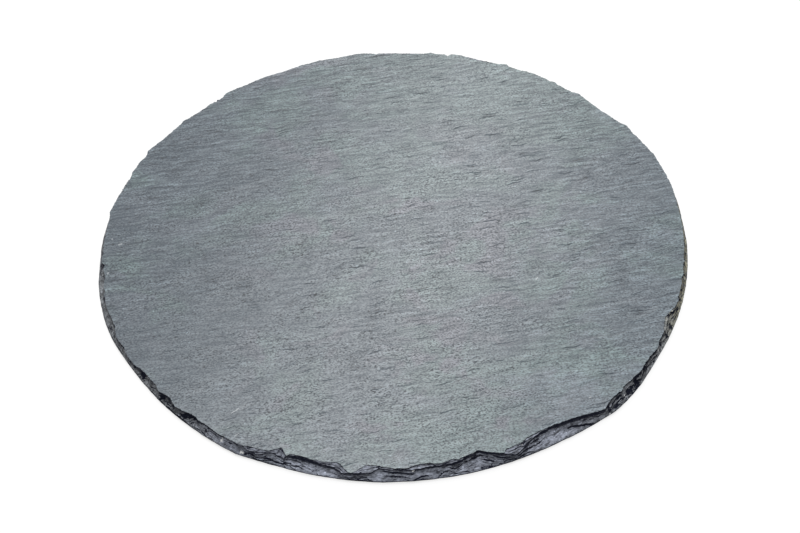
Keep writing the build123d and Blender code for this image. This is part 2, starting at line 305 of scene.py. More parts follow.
# Small scars all round but in the one wide, clean scallop: narrow ones run down the rim, and wide
# ones along it
scar_random = np.random.default_rng(12)
scar_count = 240
scallop_start = 294.5
scallop_end = 306.0
for _ in range(scar_count):
    scar_middle = scar_random.uniform(0, 360)
    scar_half_width = scar_random.choice((0.35, 0.7, 1.4, 2.6)) * scar_random.uniform(0.7, 1.3)
    scar_share = scar_random.uniform(0.05, 0.9)
    scar_rise = scar_random.uniform(-0.25, 0.55)
    scar_lean = scar_random.uniform(-0.35, 0.35)
    scar_points = {
        scar_middle + scar_half_width * place: scar_share + scar_rise * place * place + scar_lean * place
        for place in (-1.0, -0.6, -0.2, 0.2, 0.6, 1.0)
    }
    scar = (scar_random.uniform(0.08, 0.31), scar_random.uniform(0.5, 1.3), scar_points)
    if not scallop_start < scar_middle < scallop_end:
        facet_ledges.append(scar)


def around(table):
    """A size from a table at every column of the rim, in metres."""
    azimuths, sizes = zip(*sorted(table.items()))
    return np.interp(rim_degrees, azimuths, sizes, period=360) * mm


def rim_noise(size, seed, layers=2, shift_x=0, shift_y=0):
    """Noise round the rim, with swells of a size in mm."""
    return layered_noise(around_x / size + shift_x, around_y / size + shift_y, seed, layers)


# the lines round the rim, from the lip out and down to the lower edge; none crosses the next
jagged = 0.22 * rim_noise(2.4, 3, 3)
jagged -= 0.32 * np.abs(rim_noise(1.3, 7, 1)) - 0.07
frayed = 0.20 * rim_noise(1.7, 14, 3)
outline = around(outline_table) + mm * 0.09 * rim_noise(3.4, 21, 3)
outline = np.minimum(outline, slab_radius / np.maximum(np.abs(rim_x), np.abs(rim_y)))
lip = np.minimum(around(lip_table) + jagged * mm, outline - 0.2 * mm)
shelf = np.minimum(np.maximum(around(shelf_table) + frayed * mm, lip + 0.06 * mm), outline - 0.15 * mm)
sheet_fall = mm * (0.24 + 0.10 * rim_noise(7, 30))
shelf_fall = sheet_fall + np.minimum(0.26 * (shelf - lip), 1.2 * mm)
break_fall = around(break_table) * (1 + 0.22 * rim_noise(2.2, 34))
break_depth = np.minimum(shelf_fall + break_fall, slab_thickness - 0.9 * mm)
break_run = (break_depth - shelf_fall) * (0.10 + 0.10 * rim_noise(5, 37, 1))
break_radius = np.minimum(shelf + break_run, outline - 0.1 * mm)
edge_height = mm * (0.66 + 0.20 * rim_noise(6, 41))
edge_depth = slab_thickness - edge_height
hollow = np.clip(0.35 + 0.45 * rim_noise(15, 45), -0.2, 0.9)

# every row of the rim, from the top down: its radii, its depths below the top, and its wear and painted
# shade, which is above 0 where the stone is rubbed pale and below 0 where it is dark, mostly as painted
# shade under the lip, down the break and along the lower edge
rim_radii = []
rim_depths = []
rim_wear_and_shade = []


def add_rows(rows, first, last, wear_and_shade, bend=0.0):
    """Rows of the rim from one line round it up to the next, each line a radius and a depth.
    The rubbing and painted shade run from those of the first row to those of the last, and the bend hollows
    the slope out."""
    for row in range(rows):
        share = row / rows
        run = share * (1 - bend) + share * share * bend
        rim_radii.append(first[0] + (last[0] - first[0]) * run)
        rim_depths.append(first[1] + (last[1] - first[1]) * share)
        rim_wear_and_shade.append(np.full(rim_columns, wear_and_shade[0] + (wear_and_shade[1] - wear_and_shade[0]) * share))


nothing = np.zeros(rim_columns)
# how black the painted shadow under the lip is at each place round the rim
lip_painted_shade = np.clip(around(lip_painted_shade_table) / mm + 0.25 * rim_noise(4, 175), 0.1, 1.1)
under_lip = (lip - 0.04 * mm, sheet_fall)
under_shelf = (shelf - 0.20 * mm, shelf_fall + 0.3 * mm)
break_middle = (0.3 * under_shelf[0] + 0.7 * break_radius, 0.3 * under_shelf[1] + 0.7 * break_depth)
break_foot = (break_radius, break_depth)
edge = (outline, edge_depth)
sole = (outline - 0.12 * mm, nothing + slab_thickness)
shelf_rows = 10
facet_rows = 32
# the rows paint shade under the lip and the shelf, black shade down the break and a dark shaded line along
# the lower edge, while the lip's top and the hollow facet are paler
add_rows(3, (lip, nothing), under_lip, (0.35, -0.6))
shelf_first = len(rim_radii)
add_rows(shelf_rows, under_lip, (shelf, shelf_fall), (-0.25, -0.10))
add_rows(2, (shelf, shelf_fall), under_shelf, (-0.4, -1.0))
add_rows(8, under_shelf, break_middle, (-0.95, -0.85))
add_rows(5, break_middle, break_foot, (-0.80, -0.35))
facet_first = len(rim_radii)
add_rows(facet_rows, break_foot, edge, (-0.15, 0.25), hollow)
add_rows(4, edge, sole, (-0.75, -1.0))
add_rows(1, sole, (outline, nothing + slab_thickness), (-0.8, -0.8))
rim_radii = np.array(rim_radii)
rim_depths = np.array(rim_depths)
rim_wear_and_shade = np.array(rim_wear_and_shade)
# the painted shade above the facet is made lighter or blacker round the rim
above_facet = rim_wear_and_shade[:facet_first]
rim_wear_and_shade[:facet_first] = np.where(above_facet < 0, above_facet * lip_painted_shade, above_facet)
row_count = len(rim_radii)

# The sheets that crop out down the rim, each as a share of the slab's thickness. On a slope a
# loose sheet ends in a step, and on a steep break each sheet stands in or out a little.
sheet_shares = (0.05, 0.04, 0.07, 0.05, 0.09, 0.06, 0.07, 0.10, 0.06, 0.08, 0.07, 0.11, 0.06, 0.09)
sheet_tops = np.concatenate([[0], np.cumsum(sheet_shares)]) * slab_thickness
sheet_loose = []
sheet_ragged = []
for sheet in range(len(sheet_shares)):
    sheet_loose.append(np.clip(0.30 + 0.55 * rim_noise(9, 60 + sheet), 0.04, 0.85))
    sheet_ragged.append(rim_noise(1.6, 80 + sheet, 3) + 0.7 * rim_noise(5.5, 100 + sheet, 1))
sheet_loose = np.array(sheet_loose)
sheet_ragged = np.array(sheet_ragged)
sheet_dip = mm * 0.10 * rim_noise(30, 120)

column = np.arange(rim_columns)
level = rim_depths + sheet_dip
sheet_at = np.clip(np.searchsorted(sheet_tops, level.ravel(), side="right") - 1, 0, len(sheet_shares) - 1)
sheet_at = sheet_at.reshape(level.shape)
sheet_top = sheet_tops[sheet_at]
sheet_foot = sheet_tops[sheet_at + 1]
slope = np.gradient(rim_radii, axis=0) / np.maximum(np.gradient(rim_depths, axis=0), 0.01 * mm)
slope = np.clip(slope, 0, 2.4)
under_sheet = eased(rim_radii - lip, 0.12 * mm, 0.45 * mm) * np.ones_like(rim_radii)
loose_here = sheet_loose[sheet_at, column]
ragged_here = sheet_ragged[sheet_at, column]
between = eased(rim_depths, 0.05 * mm, 0.4 * mm) * eased(edge_depth - rim_depths, -0.15 * mm, 0.5 * mm)
stepped = loose_here * slope * ((sheet_top + sheet_foot) / 2 - level)
stood_out = mm * (0.09 + 0.06 * slope) * ragged_here
grainy = mm * 0.035 * rim_noise(0.8, 140, 1, 9 * level / mm, 5 * level / mm)
rim_radii = rim_radii + between * (stepped + stood_out + grainy)
seam = np.minimum(level - sheet_top, sheet_foot - level)
seam_open = eased(rim_noise(5, 150, shift_y=31 * sheet_at), -0.15, 0.35)
rim_wear_and_shade -= 0.60 * between * seam_open * (1 - eased(seam, 0.03 * mm, 0.13 * mm)) * eased(slope, 0.2, 0.6)
rim_wear_and_shade += 0.28 * between * rim_noise(3.2, 160, 3, shift_y=0.9 * level / mm)
rim_wear_and_shade += 0.30 * between * rim_noise(4.5, 165, 2, 3.1 * level / mm, -2.3 * level / mm)
shelf_block = slice(shelf_first, shelf_first + shelf_rows)
# painted shadow on the shelf just under the lip, where the top sheet falls
shadow_under_the_lip = (1 - under_sheet[shelf_block]) * eased(sheet_fall, 0.12 * mm, 0.26 * mm)
rim_wear_and_shade[shelf_block] -= 0.62 * lip_painted_shade * shadow_under_the_lip
rim_wear_and_shade[shelf_block] += around(shelf_bareness_table) / mm
foot_block = slice(facet_first, facet_first + facet_rows)
# painted shade at the foot of the hollow facet, by the lower edge
painted_foot_shade = eased(np.arange(facet_rows)[:, None] / facet_rows, 0.72, 1.0)
rim_wear_and_shade[foot_block] += around(bareness_table) / mm
rim_wear_and_shade[foot_block] -= painted_foot_shade * (0.62 + 0.45 * rim_noise(5, 170, 3))


def cut_ledges(ledges, first, rows, upper, lower):
    """Lowers the stone below each ledge's line, and paints shade into the cleft along it. The rows run from
    one line round the rim, the upper, to the next one down, the lower."""
    block = slice(first, first + rows)
    way = np.hypot(lower[0] - upper[0], lower[1] - upper[1])
    share_down = np.arange(rows)[:, None] / rows
    room = eased(share_down, 0.0, 0.12) * (1 - eased(share_down, 0.92, 1.0))
    for height, fade, points in ledges:
        azimuths, shares = zip(*points.items())
        turn = (rim_degrees - azimuths[0] + 180) % 360 - 180 + azimuths[0]
        span = azimuths[-1] - azimuths[0]
        taper = eased(turn, azimuths[0], azimuths[0] + 0.15 * span)
        taper = taper * eased(-turn, -azimuths[-1], -azimuths[-1] + 0.15 * span)
        past = (share_down - np.interp(turn, azimuths, shares)) * way + 0.4 * frayed * mm
        fall = eased(past, -0.06 * mm, 0.08 * mm) * (1 - eased(past, 0.3 * mm, fade * mm))
        rim_depths[block] += height * mm * taper * fall * room
        # painted shade in the cleft below each ledge
        ledge_shade = eased(past, -0.08 * mm, 0.0) * (1 - eased(past, 0.20 * mm, 0.26 * mm + 0.9 * height * mm))
        rim_wear_and_shade[block] -= min(1.2, 0.2 + 2.4 * height) * taper * ledge_shade
        rubbed = 0.2 * taper * eased(past, -0.7 * mm, -0.1 * mm)
        rim_wear_and_shade[block] += rubbed * (1 - eased(past, -0.1 * mm, 0.0))


cut_ledges(shelf_ledges, shelf_first, shelf_rows, under_lip, (shelf, shelf_fall))
cut_ledges(facet_ledges, facet_first, facet_rows, break_foot, edge)
for azimuth, depth, half_width, half_height, inward in crumbled_spots:
    turn = (rim_degrees - azimuth + 180) % 360 - 180
    away = np.hypot(turn / half_width, (level / mm - depth) / half_height)
    away = away + 0.50 * rim_noise(1.1, 180, 3, 1.1 * level / mm, -0.7 * level / mm)
    # each hole sinks the stone in and is painted black inside as its shade
    hole_and_shade = between * (1 - eased(away, 0.55, 1.00))
    rim_radii -= inward * mm * hole_and_shade
    rim_wear_and_shade -= 1.05 * hole_and_shade
rim_depths = np.clip(rim_depths, 0, slab_thickness)

# The riven faces of the slate
# The serving face is left as it split: low terraces and ripples that run along the strike,
# each ending in a scarp a few hundredths of a millimetre high. The underside split likewise.


def riven_relief(x, y, seed):
    """How high the riven face stands, in millimetres, and how rubbed and how shaded each place is: the
    ripples' crests are paler and the scarps get painted shade.
    """
    along = (x * math.cos(strike) + y * math.sin(strike)) / mm
    across = (y * math.cos(strike) - x * math.sin(strike)) / mm
    bend = 1.6 * layered_noise(along / 30, across / 20, seed, 2)
    broad = 0.08 * layered_noise(along / 75, across / 48, seed + 1, 2)
    rippled = 0.35 + 0.65 * eased(layered_noise(along / 46, across / 34, seed + 2, 2), -0.4, 0.5)
    ripple = rippled * layered_noise(along / 11, (across + bend) / 2.7, seed + 3, 2)
    sheets = 3.0 * layered_noise(along / 38, (across + bend) / 12, seed + 4, 3)
    whole = np.floor(sheets)
    scarp = eased(sheets - whole, 0.0, 0.2)
    leaning = x / slab_radius
    rise = 0.040 * (1 + 0.6 * leaning + 0.6 * np.maximum(leaning, 0) ** 2)
    relief = broad + rise * ripple + 0.030 * (whole + scarp)
    # paler on the ripples' crests, and painted shade on the scarps
    worn_and_shaded = 0.5 * ripple - 0.5 * (scarp < 0.98) * (scarp > 0.02)
    return relief, worn_and_shaded


# the middle level of each face, from points spread evenly over it in a spiral
top_seed = 200
underside_seed = 300
spread_count = 6000
golden_turn = 2.399963
spread_radius = slab_radius * np.sqrt(np.linspace(0, 1, spread_count))
spread_turn = np.arange(spread_count) * golden_turn
spread_x = spread_radius * np.cos(spread_turn)
spread_y = spread_radius * np.sin(spread_turn)
middle_relief = {
    seed: np.mean(riven_relief(spread_x, spread_y, seed)[0]) for seed in (top_seed, underside_seed)
}


def face_height(x, y, seed, depth, surface, out):
    """The height of a riven face, whose relief lies in a depth in mm below its level, and its rubbing and
    painted shade.
    """
    relief, worn_and_shaded = riven_relief(x, y, seed)
    sunk = np.clip(relief - middle_relief[seed], -depth / 2, depth / 2) - depth / 2
    return surface + out * sunk * mm, worn_and_shaded


def serving_height(x, y):
    """The height of the serving face, and its rubbing and painted shade."""
    return face_height(x, y, top_seed, 0.40, slab_high.z, 1)


pad_names = [name for name in sorted(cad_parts) if name.startswith("adhesive_disc")]
pad_boxes = [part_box(name) for name in pad_names]


def underside_height(x, y):
    """The height of the underside, which is flat where an adhesive disc sticks to it, and its rubbing and
    painted shade.
    """
    height, worn_and_shaded = face_height(x, y, underside_seed, 0.16, slab_low.z, -1)
    lifted = height - slab_low.z
    for low, high in pad_boxes:
        away = np.hypot(x - (low.x + high.x) / 2, y - (low.y + high.y) / 2)
        lifted = lifted * eased(away, (high.x - low.x) / 2 + 0.5 * mm, (high.x - low.x) / 2 + 4 * mm)
    return slab_low.z + lifted, worn_and_shaded


class SlabMesh:
    """The slab's places, faces and notes, gathered one surface at a time."""

    def __init__(self):
        self.places = []
        self.wear_and_shade = []
        self.size = 0
        self.corners = []
        self.sides = []
        self.materials = []
        self.bake = []

    def add_places(self, x, y, z, wear_and_shade):
        """Adds places with their rubbing and painted shade, and gives the number of the first."""
        first = self.size
        self.places.append(np.stack([x, y, z], axis=1))
        self.wear_and_shade.append(wear_and_shade)
        self.size += len(x)
        return first

    def add_faces(self, corners, material, bake):
        """Adds faces of one material, each with its corners and their spots on the bake map."""
        self.corners.append(np.stack(corners, axis=1).ravel())
        self.sides.append(np.full(len(corners[0]), len(corners)))
        self.materials.append(np.full(len(corners[0]), material))
        self.bake.append(np.stack(bake, axis=1).reshape(-1, 2))


slab_mesh = SlabMesh()
riven, broken, dull = range(3)
lip_height = serving_height(rim_radii[0] * rim_x, rim_radii[0] * rim_y)[0]
sole_height = underside_height(rim_radii[-1] * rim_x, rim_radii[-1] * rim_y)[0]
for row in range(row_count):
    share = rim_depths[row] / slab_thickness
    height = lip_height * (1 - share) + sole_height * share
    slab_mesh.add_places(rim_radii[row] * rim_x, rim_radii[row] * rim_y, height, rim_wear_and_shade[row])

# the rim's bake map lies in four strips above the two faces
strip_count = 4
strip_margin = 0.015
strip_length = 0.97
strip_height = 0.06
first_strip_foot = 0.705
strip_spacing = 0.07
strip_columns = rim_columns // strip_count
strip = column // strip_columns
strip_left = strip_margin + strip_length * (column - strip * strip_columns) / strip_columns
strip_right = strip_left + strip_length / strip_columns
strip_foot = first_strip_foot + strip_spacing * strip
following = (column + 1) % rim_columns
for row in range(row_count - 1):
    upper = row * rim_columns
    lower = upper + rim_columns
    upper_v = strip_foot + strip_height * (1 - row / (row_count - 1))
    lower_v = strip_foot + strip_height * (1 - (row + 1) / (row_count - 1))
    slab_mesh.add_faces(
        (lower + column, lower + following, upper + following, upper + column),
        broken,
        [np.stack(spot, axis=1) for spot in (
            (strip_left, lower_v), (strip_right, lower_v), (strip_right, upper_v), (strip_left, upper_v)
        )],
    )


def add_face(edge_row, step, height_of, rubbed, material, out, bake_middle, bake_scale):
    """Fills one face of the slab in rings that ease from the chipped edge to true circles. The rings
    grow to a step apart and lose half their places where these crowd. The outermost are rubbed."""
    fewest = 75
    growth = 1.25
    crowded = 0.7 * step
    edge = rim_radii[edge_row]
    mean_edge = np.mean(edge)

    def lay(*corners):
        """Adds faces by their corners, each a row with the number of its place and its x and y."""
        numbers = [corner[:, 0].astype(int) for corner in corners]
        bake = [corner[:, 1:] * bake_scale + bake_middle for corner in corners]
        slab_mesh.add_faces(numbers[::out], material, bake[::out])

    ring = np.column_stack([edge_row * rim_columns + column, edge * rim_x, edge * rim_y])
    count = rim_columns
    offset = 0.0
    spacing = 0.4 * step
    while offset < mean_edge - 1.5 * step:
        offset += spacing
        spacing = min(spacing * growth, step)
        share = 1 - offset / mean_edge
        halved = count > fewest and 2 * math.pi * mean_edge * share / count < crowded
        if halved:
            count //= 2
        skip = rim_columns // count
        follow = eased(np.array(share), 0.85, 1.0)
        radius = share * (edge * follow + mean_edge * (1 - follow))[::skip]
        x = radius * rim_x[::skip]
        y = radius * rim_y[::skip]
        height, worn_and_shaded = height_of(x, y)
        worn_and_shaded = worn_and_shaded + rubbed * (1 - eased(np.array(offset), 0.3 * mm, 3.0 * mm))
        inner = np.column_stack([slab_mesh.add_places(x, y, height, worn_and_shaded) + np.arange(count), x, y])
        beside = np.roll(inner, -1, 0)
        if halved:
            first, second = ring[0::2], ring[1::2]
            lay(first, second, inner)
            lay(second, beside, inner)
            lay(second, np.roll(first, -1, 0), beside)
        else:
            lay(ring, np.roll(ring, -1, 0), beside, inner)
        ring = inner
    height, worn_and_shaded = height_of(np.zeros(1), np.zeros(1))
    centre = slab_mesh.add_places(np.zeros(1), np.zeros(1), height, worn_and_shaded)
    lay(ring, np.roll(ring, -1, 0), np.full((count, 3), (centre, 0, 0)))


# how far apart the rings of each face are, and where it lies on the bake map
top_step = 0.65 * mm
top_middle = np.array([0.35, 0.35])
top_reach = 0.338
underside_step = 1.8 * mm
underside_middle = np.array([0.845, 0.155])
underside_reach = 0.14
add_face(0, top_step, serving_height, 0.5, riven, 1, top_middle, top_reach / slab_radius)
add_face(row_count - 1, underside_step, underside_height, 0, dull, -1, underside_middle,
         underside_reach / slab_radius)

slab_data = bpy.data.meshes.new("slate_round")
places = np.concatenate(slab_mesh.places)
corners = np.concatenate(slab_mesh.corners).astype(np.int32)
sides = np.concatenate(slab_mesh.sides).astype(np.int32)
slab_data.vertices.add(len(places))
slab_data.vertices.foreach_set("co", places.astype(np.float32).ravel())
slab_data.loops.add(len(corners))
slab_data.loops.foreach_set("vertex_index", corners)
slab_data.polygons.add(len(sides))
slab_data.polygons.foreach_set("loop_start", np.concatenate([[0], np.cumsum(sides)[:-1]]).astype(np.int32))
slab_data.polygons.foreach_set("material_index", np.concatenate(slab_mesh.materials).astype(np.int32))
bake_map = slab_data.uv_layers.new(name="OFBake")
bake_map.uv.foreach_set("vector", np.concatenate(slab_mesh.bake).astype(np.float32).ravel())
# each place's rubbing and painted shade, for the materials
wear_and_shade_note = slab_data.attributes.new("wear_and_shade", "FLOAT", "POINT")
wear_and_shade_note.data.foreach_set("value", np.concatenate(slab_mesh.wear_and_shade).astype(np.float32))
slab_data.update(calc_edges=True)
slab_data.validate()
slab_data.shade_smooth()
slab_data.set_sharp_from_angle(angle=math.radians(40))
slate_round = new_object("slate_round", slab_data)


def fill_inputs(node, inputs):
    """Sets or links the inputs of a shader node."""
    for name, value in inputs.items():
        if isinstance(value, bpy.types.NodeSocket):
            node.id_data.links.new(value, node.inputs[name])
        else:
            node.inputs[name].default_value = value


def add_node(tree, kind, inputs=None, **settings):
    """A shader node with its settings made and its inputs set or linked."""
    node = tree.nodes.new(kind)
    for name, value in settings.items():
        setattr(node, name, value)
    fill_inputs(node, inputs or {})
    return node


def tree_of(values):
    """The node tree that the sockets among some values belong to."""
    return next(value.id_data for value in values if isinstance(value, bpy.types.NodeSocket))


def sum_of(operation, *values, clamp=False):
    """One sum of up to three numbers."""
    inputs = dict(enumerate(values))
    node = add_node(tree_of(values), "ShaderNodeMath", inputs, operation=operation, use_clamp=clamp)
    return node.outputs[0]


def product_of(*values):
    """All the numbers multiplied together."""
    product = values[0]
    for value in values[1:]:
        product = sum_of("MULTIPLY", product, value)
    return product


def swing_of(value, amount):
    """1 where a noise is at its middle, and more or less by an amount of its swing."""
    return sum_of("MULTIPLY_ADD", value, amount, 1 - amount / 2)


def vector_sum(operation, *values, result="Vector"):
    """One sum of vectors, or of a vector and its scale."""
    inputs = dict(zip((0, "Scale" if operation == "SCALE" else 1), values))
    return add_node(tree_of(values), "ShaderNodeVectorMath", inputs, operation=operation).outputs[result]


def blend_of(share, first, second, blend_type="MIX"):
    """One colour laid over another by a share."""
    tree = tree_of((share, first, second))
    inputs = {0: share, 6: first, 7: second}
    return add_node(tree, "ShaderNodeMix", inputs, data_type="RGBA", blend_type=blend_type).outputs[2]


def ramp_of(value, low, high, low_result=0.0, high_result=1.0, kind="SMOOTHSTEP"):
    """A step of a number between two values."""
    inputs = {0: value, 1: low, 2: high, 3: low_result, 4: high_result}
    return add_node(value.id_data, "ShaderNodeMapRange", inputs, interpolation_type=kind).outputs[0]


def factor_of(mask, at_none, at_full):
    """A factor that runs evenly from one value to another as a mask rises from 0 to 1."""
    return ramp_of(mask, 0.0, 1.0, at_none, at_full, "LINEAR")


def grey_of(value):
    """The same number as a grey colour."""
    return add_node(value.id_data, "ShaderNodeCombineColor", {0: value, 1: value, 2: value}).outputs[0]


def noise_of(place, scale, detail, roughness=0.5, distortion=0.0):
    """A noise between 0 and 1, with about as many swells to the metre as its scale."""
    inputs = {
        "Vector": place, "Scale": scale, "Detail": detail, "Roughness": roughness, "Distortion": distortion,
    }
    return add_node(place.id_data, "ShaderNodeTexNoise", inputs).outputs["Fac"]


def length_of(vector):
    """The length of a vector."""
    return vector_sum("LENGTH", vector, result="Value")


def dot_of(first, second):
    """The dot product of two vectors."""
    return vector_sum("DOT_PRODUCT", first, second, result="Value")


def axes_of(vector):
    """The x, y and z of a vector."""
    return add_node(vector.id_data, "ShaderNodeSeparateXYZ", {0: vector}).outputs


def vector_of(x, y, z):
    """The vector with an x, y and z."""
    return add_node(tree_of((x, y, z)), "ShaderNodeCombineXYZ", {0: x, 1: y, 2: z}).outputs[0]


value_kind = "NodeSocketFloat"
vector_kind = "NodeSocketVector"
colour_kind = "NodeSocketColor"


def new_group(name, sockets_in, sockets_out):
    """An empty shader node group. A socket is named with its kind, or a number with its usual value."""
    group = bpy.data.node_groups.new(name, "ShaderNodeTree")
    for label, kind in sockets_in.items():
        if isinstance(kind, float):
            group.interface.new_socket(label, in_out="INPUT", socket_type=value_kind).default_value = kind
        else:
            group.interface.new_socket(label, in_out="INPUT", socket_type=kind)
    for label, kind in sockets_out.items():
        group.interface.new_socket(label, in_out="OUTPUT", socket_type=kind)
    return group, group.nodes.new("NodeGroupInput").outputs, group.nodes.new("NodeGroupOutput").inputs


def use_group(group, **inputs):
    """What a node group makes of its inputs."""
    return add_node(tree_of(inputs.values()), "ShaderNodeGroup", inputs, node_tree=group).outputs


# Strike: the place of a point along and across the slate's grain, which wavers a little
strike_group, given, made = new_group(
    "along_the_strike", {"Place": vector_kind, "Stretch": 4.0, "Waver": 0.8 * mm}, {"Place": vector_kind}
)
turned = add_node(strike_group, "ShaderNodeVectorRotate", {"Vector": given["Place"], "Angle": -strike},
                  rotation_type="Z_AXIS").outputs[0]
waver = sum_of("SUBTRACT", noise_of(turned, 110, 2), 0.5)
waver = product_of(waver, given["Waver"], 4.0)
moved = vector_sum("ADD", turned, vector_of(0.0, waver, 0.0))
shrink = sum_of("DIVIDE", 1.0, given["Stretch"])
squeezed = vector_sum("MULTIPLY", moved, vector_of(shrink, 1.0, 1.0))
strike_group.links.new(squeezed, made["Place"])

# Grain: the mica flakes of the stone, the streaks in which they lie, and where they are coarse
grain_group, given, made = new_group(
    "slate_grain",
    {"Place": vector_kind, "Size": 1.0},
    {"Grain": value_kind, "Streak": value_kind, "Coarse": value_kind},
)
sized = vector_sum("SCALE", given["Place"], given["Size"])
short = use_group(strike_group, Place=sized, Stretch=1.6)["Place"]
long = use_group(strike_group, Place=sized, Stretch=8.0)["Place"]
grain_group.links.new(noise_of(short, 1500, 2, 0.6), made["Grain"])
grain_group.links.new(noise_of(long, 640, 3, 0.62), made["Streak"])
grain_group.links.new(ramp_of(noise_of(short, 85, 3, 0.6), 0.36, 0.64), made["Coarse"])

# Hairlines: scarps at which a sheet ends, each a thin stroke along the strike, which the faces darken as
# its painted shadow
hairline_group, given, made = new_group(
    "slate_hairlines",
    {"Place": vector_kind, "Stretch": 13.0, "Scale": 330.0, "Thickness": 0.1, "Share": 0.4},
    {"Mask": value_kind},
)
laid = use_group(strike_group, Place=given["Place"], Stretch=given["Stretch"], Waver=1.5 * mm)["Place"]
strokes = add_node(hairline_group, "ShaderNodeTexVoronoi", {"Vector": laid, "Scale": given["Scale"]},
                   voronoi_dimensions="2D")
chance = add_node(hairline_group, "ShaderNodeSeparateColor", {0: strokes.outputs["Color"]}).outputs
width = product_of(given["Thickness"], factor_of(chance[1], 0.5, 1.3))
near = ramp_of(strokes.outputs["Distance"], product_of(width, 0.35), width, 1.0, 0.0)
chosen = sum_of("LESS_THAN", chance[0], given["Share"])
strength = factor_of(chance[2], 0.35, 1.0)
hairline_group.links.new(product_of(near, chosen, strength), made["Mask"])

# Specks: single grains, which the faces brighten as painted glints of mica catching the light
speck_group, given, made = new_group(
    "slate_specks", {"Place": vector_kind, "Scale": 900.0, "Share": 0.02}, {"Mask": value_kind}
)
cells = add_node(speck_group, "ShaderNodeTexVoronoi", {"Vector": given["Place"], "Scale": given["Scale"]})
near = ramp_of(cells.outputs["Distance"], 0.15, 0.45, 1.0, 0.0)
chance = add_node(speck_group, "ShaderNodeSeparateColor", {0: cells.outputs["Color"]}).outputs[0]
speck_group.links.new(product_of(near, sum_of("LESS_THAN", chance, given["Share"])), made["Mask"])

# Mark: one scratch, nick or fleck, from one place to another
mark_group, given, made = new_group(
    "slate_mark",
    {"Place": vector_kind, "From": vector_kind, "To": vector_kind, "Radius": 0.5 * mm},
    {"Mask": value_kind},
)
out_of = vector_sum("SUBTRACT", given["Place"], given["From"])
whole = vector_sum("SUBTRACT", given["To"], given["From"])
share = sum_of("DIVIDE", dot_of(out_of, whole), dot_of(whole, whole), clamp=True)
nearest = vector_sum("SCALE", whole, share)
away = length_of(vector_sum("SUBTRACT", out_of, nearest))
ragged = noise_of(given["Place"], 2200, 2)
away = product_of(away, ramp_of(ragged, 0.3, 0.7, 0.6, 1.6))
near = ramp_of(away, product_of(given["Radius"], 0.4), given["Radius"], 1.0, 0.0)
mark_group.links.new(near, made["Mask"])


def marks_of(place, marks):
    """All the marks of one kind: each has its x and y and its depth below the top in mm, its length,
    the direction in which it runs, the angle at which it climbs and its radius."""
    total = None
    for x, y, depth, length, direction, climb, radius in marks:
        level = math.cos(math.radians(climb))
        reach = Vector((
            level * math.cos(math.radians(direction)), level * math.sin(math.radians(direction)),
            math.sin(math.radians(climb)),
        )) * length / 2
        middle = Vector((x, y, slab_high.z / mm - depth))
        mask = use_group(mark_group, Place=place, From=(middle - reach) * mm, To=(middle + reach) * mm,
                         Radius=radius * mm)["Mask"]
        total = mask if total is None else sum_of("MAXIMUM", total, mask)
    return total


# Blotches: broad drifts from blue-grey to green-grey, and to a bruised purple
blotch_group, given, made = new_group(
    "slate_blotches",
    {"Place": vector_kind, "Blue": colour_kind, "Green": colour_kind, "Purple": colour_kind, "Lean": 0.0},
    {"Colour": colour_kind, "Shade": value_kind},
)
laid = use_group(strike_group, Place=given["Place"], Stretch=1.4)["Place"]
drift = sum_of("ADD", noise_of(laid, 26, 4, 0.6, 0.4), given["Lean"])
bruise = noise_of(laid, 44, 3, 0.55, 0.6)
greened = blend_of(ramp_of(drift, 0.42, 0.58), given["Blue"], given["Green"])
bruised = blend_of(ramp_of(bruise, 0.52, 0.64), greened, given["Purple"])
blotch_group.links.new(bruised, made["Colour"])
blotch_group.links.new(noise_of(laid, 24, 5, 0.66), made["Shade"])


def new_material(name):
    """A bare material with its shader and the place that its textures are read at."""
    material = bpy.data.materials.new(name)
    material.use_nodes = True
    nodes = material.node_tree.nodes
    return material, nodes["Principled BSDF"], nodes.new("ShaderNodeTexCoord").outputs["Object"]


def finish_material(shader, colour, rough, height, strength, distance):
    """Gives a shader its colour and its roughness, and a bump of a height."""
    inputs = {"Strength": strength, "Distance": distance, "Height": height}
    bump = add_node(shader.id_data, "ShaderNodeBump", inputs)
    fill_inputs(shader, {"Base Color": colour, "Roughness": rough, "Normal": bump.outputs[0]})


def wear_and_shade_of(shader):
    """The rubbing and the painted shade that the slab's mesh notes at each place."""
    return add_node(shader.id_data, "ShaderNodeAttribute", attribute_name="wear_and_shade").outputs["Fac"]


# Riven face: matt, and a little silky where the mica lies flat. It is bluer to the left and the
# right and greener to the rear, and its strokes are longest to the right and the rear. Its colour also
# holds painted
# light: shade to the left, light to the front, the lower right and the right rim, shadows on the scarps and
# glints on grains.
riven_face, shader, place = new_material("riven_slate")
side = axes_of(place)
leftward = ramp_of(side[0], -30 * mm, -110 * mm)
rightward = ramp_of(side[0], 80 * mm, 130 * mm)
rearward = product_of(ramp_of(side[1], 20 * mm, 110 * mm), ramp_of(side[0], -60 * mm, 0.0))
lean = sum_of("SUBTRACT", product_of(rearward, 0.12), product_of(leftward, 0.09))
lean = sum_of("MULTIPLY_ADD", rightward, -0.12, lean)
streaky = ramp_of(side[1], 10 * mm, 80 * mm)
streaky = sum_of("MAXIMUM", ramp_of(side[0], 20 * mm, 100 * mm), streaky)
middling = ramp_of(sum_of("ABSOLUTE", side[0]), 90 * mm, 40 * mm)
reach = length_of(place)
blue_grey = (0.0850, 0.1080, 0.1280, 1)
green_grey = (0.0850, 0.1178, 0.1262, 1)
mauve = blend_of(middling, (0.0880, 0.1085, 0.1290, 1), (0.0945, 0.1045, 0.1272, 1))
mauve = blend_of(rearward, mauve, (0.0860, 0.1125, 0.1260, 1))
blotch = use_group(blotch_group, Place=place, Blue=blue_grey, Green=green_grey, Purple=mauve, Lean=lean)
grain = use_group(grain_group, Place=place)
